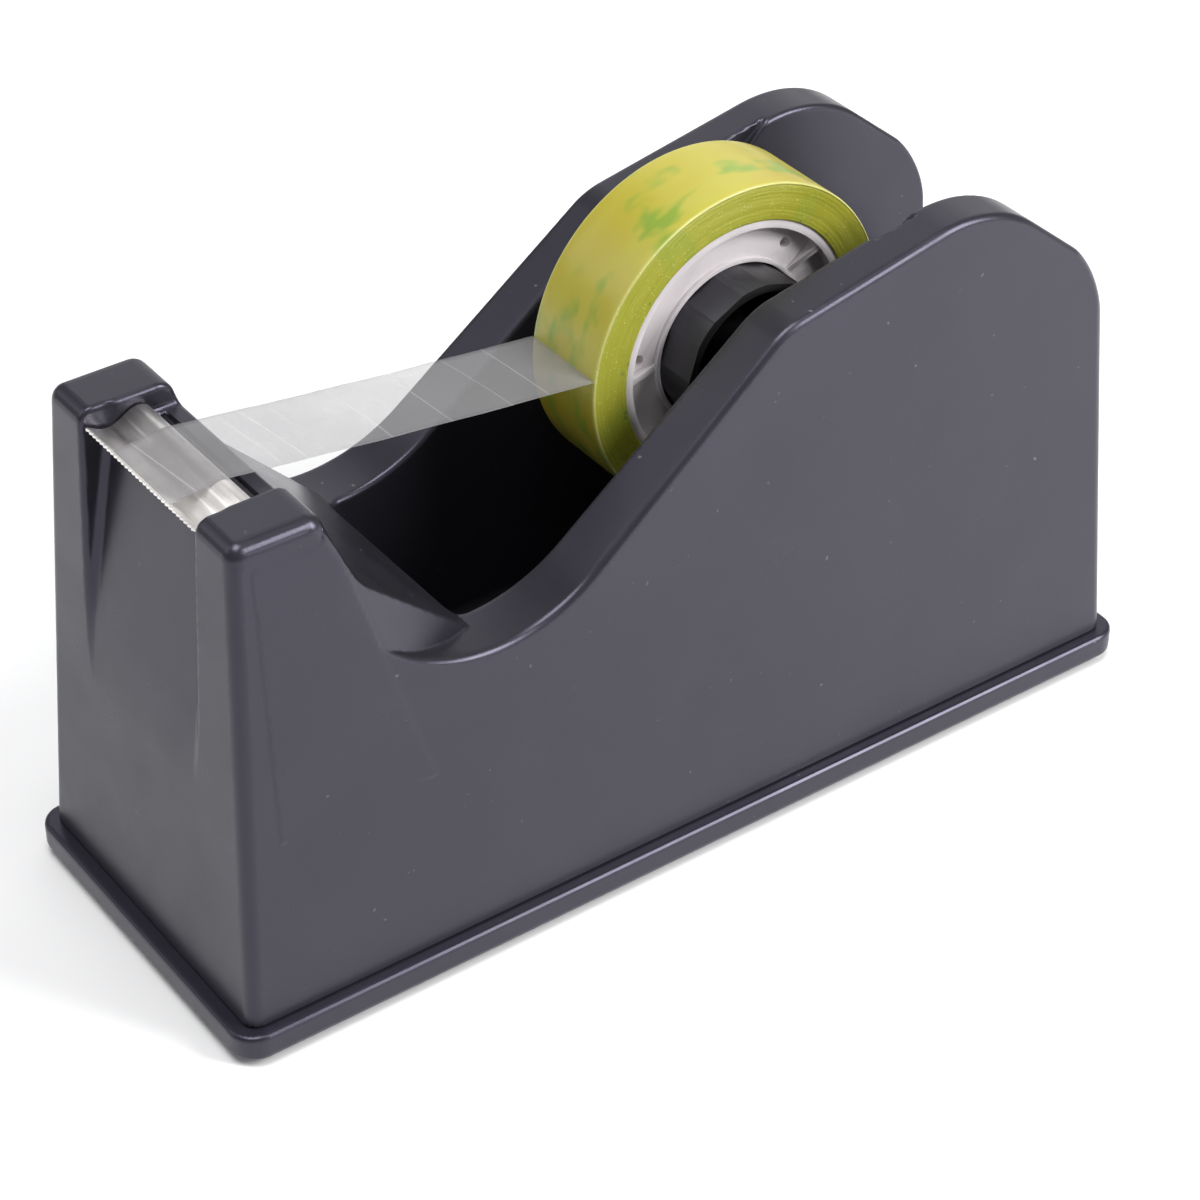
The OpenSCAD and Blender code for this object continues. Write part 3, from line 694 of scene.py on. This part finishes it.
def wound_roll():
    """The wound tape, turned from a profile whose side faces have the steps of uneven turns."""
    inner = cad("tape_core")[1][2] - AXIS[2]
    outer = roll_high[2] - AXIS[2]
    half = roll_high[0]
    random = np.random.default_rng(7)
    rings, around, edge = 26, 180, 0.35
    dip, uneven, gap = 0.05, 0.07, 0.02
    side = [(half - dip - uneven * random.random(), inner + gap + (outer - edge - inner) * i / rings)
            for i in range(rings + 1)]
    corner = [(half - edge + edge * math.sin(a), outer - edge + edge * math.cos(a))
              for a in np.linspace(math.pi / 2, 0, 5)]
    tread = [(x, outer) for x in np.linspace(half - edge, 0, 5)[1:-1]]
    right = side + corner + tread
    profile = right + [(0, outer)] + [(-x, r) for x, r in reversed(right)]
    count = len(profile)
    points = []
    for k in range(around):
        a = 2 * math.pi * k / around
        points += [(x, AXIS[1] + r * math.cos(a), AXIS[2] + r * math.sin(a)) for x, r in profile]
    faces = []
    for k in range(around):
        n = (k + 1) % around
        for i in range(count):
            j = (i + 1) % count
            faces.append((k * count + i, k * count + j, n * count + j, n * count + i))
    return mesh_object("Tape_Roll", points, faces, WOUND_TAPE)


def film_tail():
    """The tape's free end: off the roll, straight to the blade's crest, and down to the teeth."""
    low, high = cad("tape_tail")
    random = np.random.default_rng(11)
    along, down, across = 64, 12, 14
    crest_y, clear, drop = 18.9, 0.1, 1.0             # the blade's crest, and the fall to its teeth
    off_roll, peel_angle = 0.06, math.radians(172)
    ripple, cup_depth, thickness = 0.10, 0.35, 0.05
    outer = roll_high[2] - AXIS[2]
    peel = AXIS[1:] + (outer + off_roll) * np.array([math.cos(peel_angle), math.sin(peel_angle)])
    crest = np.array([FRONT + crest_y, blade_high[2] + clear])
    tip = np.array([low[1], crest[1] - drop])
    route = [peel + (crest - peel) * t for t in np.linspace(0, 1, along)]
    route += [crest + (tip - crest) * t for t in np.linspace(0, 1, down)[1:]]
    wave = ripple * (random.random(len(route)) - 0.5)
    points = []
    for i, (y, z) in enumerate(route):
        free = math.sin(math.pi * min(1, i / along))
        for j in range(across + 1):
            s = j / across - 0.5
            lift = ripple * free * math.sin(9 * s + 0.35 * i) + wave[i] * free * (0.5 - s)
            cup = -cup_depth * free * (2 * s) ** 2
            points.append((s * (high[0] - low[0]), y, z + lift * 0.6 + cup))
    faces = [(i * (across + 1) + j, i * (across + 1) + j + 1, (i + 1) * (across + 1) + j + 1,
              (i + 1) * (across + 1) + j) for i in range(len(route) - 1) for j in range(across)]
    piece = mesh_object("Tape_Tail", points, faces, TAPE_FILM)
    skin = piece.modifiers.new("thickness", "SOLIDIFY")
    skin.thickness = thickness * MM
    skin.offset = 1
    return settle(piece)


housing = field_piece("Housing", housing_field, (-HALF_W, FRONT, UNDER + SEAT),
                      (HALF_W, FRONT + LENGTH, UNDER + TOP_H), FIELD_STEP, HOUSING_PLASTIC)
stands_for(housing, "root", "housing")
base = field_piece("Base_Plate", base_field, base_low, base_high, FIELD_STEP, BASE_PLASTIC)
stands_for(base, "root", "base_plate")
stands_for(wound_roll(), "reel", "tape_roll")
stands_for(film_tail(), "axle_set", "tape_tail")

# Each row: node, name, body, slot, material, width of the round on its edges
SOFTENED = [
    ("base_screws", "Base_Screws", "root", "screw_steel", SCREW_STEEL, 0.12),
    ("ballast_front", "Ballast_Front", "root", "ballast_steel", BALLAST_STEEL, 0.6),
    ("ballast_rear", "Ballast_Rear", "root", "ballast_steel", BALLAST_STEEL, 0.6),
    ("ballast_pad", "Ballast_Pad", "root", "pad_foam", PAD_FOAM, 0.8),
    ("foot_front_left", "Foot_Front_Left", "root", "foot_rubber", FOOT_RUBBER, 0.15),
    ("foot_front_right", "Foot_Front_Right", "root", "foot_rubber", FOOT_RUBBER, 0.15),
    ("foot_rear_left", "Foot_Rear_Left", "root", "foot_rubber", FOOT_RUBBER, 0.15),
    ("foot_rear_right", "Foot_Rear_Right", "root", "foot_rubber", FOOT_RUBBER, 0.15),
    ("cutter_carrier", "Cutter_Carrier", "root", "insert_plastic", INSERT_PLASTIC, 0.15),
    ("cutter_blade", "Cutter_Blade", "root", "blade_steel", BLADE_STEEL, 0.05),
    ("carrier_screws", "Carrier_Screws", "root", "screw_steel", SCREW_STEEL, 0.12),
    ("axle", "Axle", "axle_set", "axle_steel", AXLE_STEEL, 0.15),
    ("axle_washers", "Axle_Washers", "axle_set", "washer_nylon", WASHER_NYLON, 0.1),
    ("axle_clips", "Axle_Clips", "axle_set", "clip_steel", CLIP_STEEL, 0.1),
    ("drum", "Drum", "reel", "drum_plastic", DRUM_PLASTIC, 0.12),
    ("tape_core", "Tape_Core", "reel", "core_plastic", CORE_PLASTIC, 0.22),
]
for node, name, body, slot, material, width in SOFTENED:
    angle = 8.0 if node == "drum" else 30.0           # the drum's shallow flats have edges too
    stands_for(softened(node, name, material, width, angle=angle), body, node)


# ------------------------------------------------------------------ stage, light and camera

def floor():
    size = 3000.0
    bumpy = mesh_object("Floor", [(-size, -size, 0), (size, -size, 0), (size, size, 0), (-size, size, 0)],
                        [(0, 1, 2, 3)], floor_material(), smooth=False)


def softbox(name, place, target, width, height, power):
    light = bpy.data.lights.new(name, "AREA")
    light.shape = "RECTANGLE"
    light.size, light.size_y = width, height
    light.energy = power
    lamp = bpy.data.objects.new(name, light)
    lamp.location = place
    lamp.rotation_euler = (Vector(target) - Vector(place)).to_track_quat("-Z", "Y").to_euler()
    lamp.visible_camera = False
    bpy.context.scene.collection.objects.link(lamp)


floor()
middle = (0.0, 0.0, 0.05)
softbox("Key_Rear_Right", (0.85, 0.65, 0.75), middle, 0.45, 0.8, 20)
softbox("Panel_Rear_Left", (-1.3, 1.0, 0.95), middle, 1.7, 1.5, 5.5)
softbox("Fill_Front_Left", (-1.4, -1.7, 1.6), middle, 1.6, 1.6, 10)
softbox("Overhead", (0.1, -0.3, 2.2), middle, 1.2, 1.2, 40)

world = bpy.data.worlds.new("Studio")
world.use_nodes = True
background = world.node_tree.nodes["Background"]
background.inputs["Color"].default_value = (0.95, 0.96, 1.0, 1)
background.inputs["Strength"].default_value = 0.28
bpy.context.scene.world = world

AZIMUTH, ELEVATION = math.radians(54.36), math.radians(37.1)
AIM = Vector((0.0198, -0.0162, 0.05025))
DISTANCE = 0.5538
back = Vector((math.sin(AZIMUTH) * math.cos(ELEVATION), -math.cos(AZIMUTH) * math.cos(ELEVATION),
               math.sin(ELEVATION)))
camera_data = bpy.data.cameras.new("Camera")
camera_data.sensor_width = 36
camera_data.lens = 97.5
camera_data.shift_x, camera_data.shift_y = 0.0094, 0.0096
camera = bpy.data.objects.new("Camera", camera_data)
camera.location = AIM + back * DISTANCE
camera.rotation_euler = (-back).to_track_quat("-Z", "Y").to_euler()
bpy.context.scene.collection.objects.link(camera)
bpy.context.scene.camera = camera
bpy.context.scene.view_settings.view_transform = "Standard"
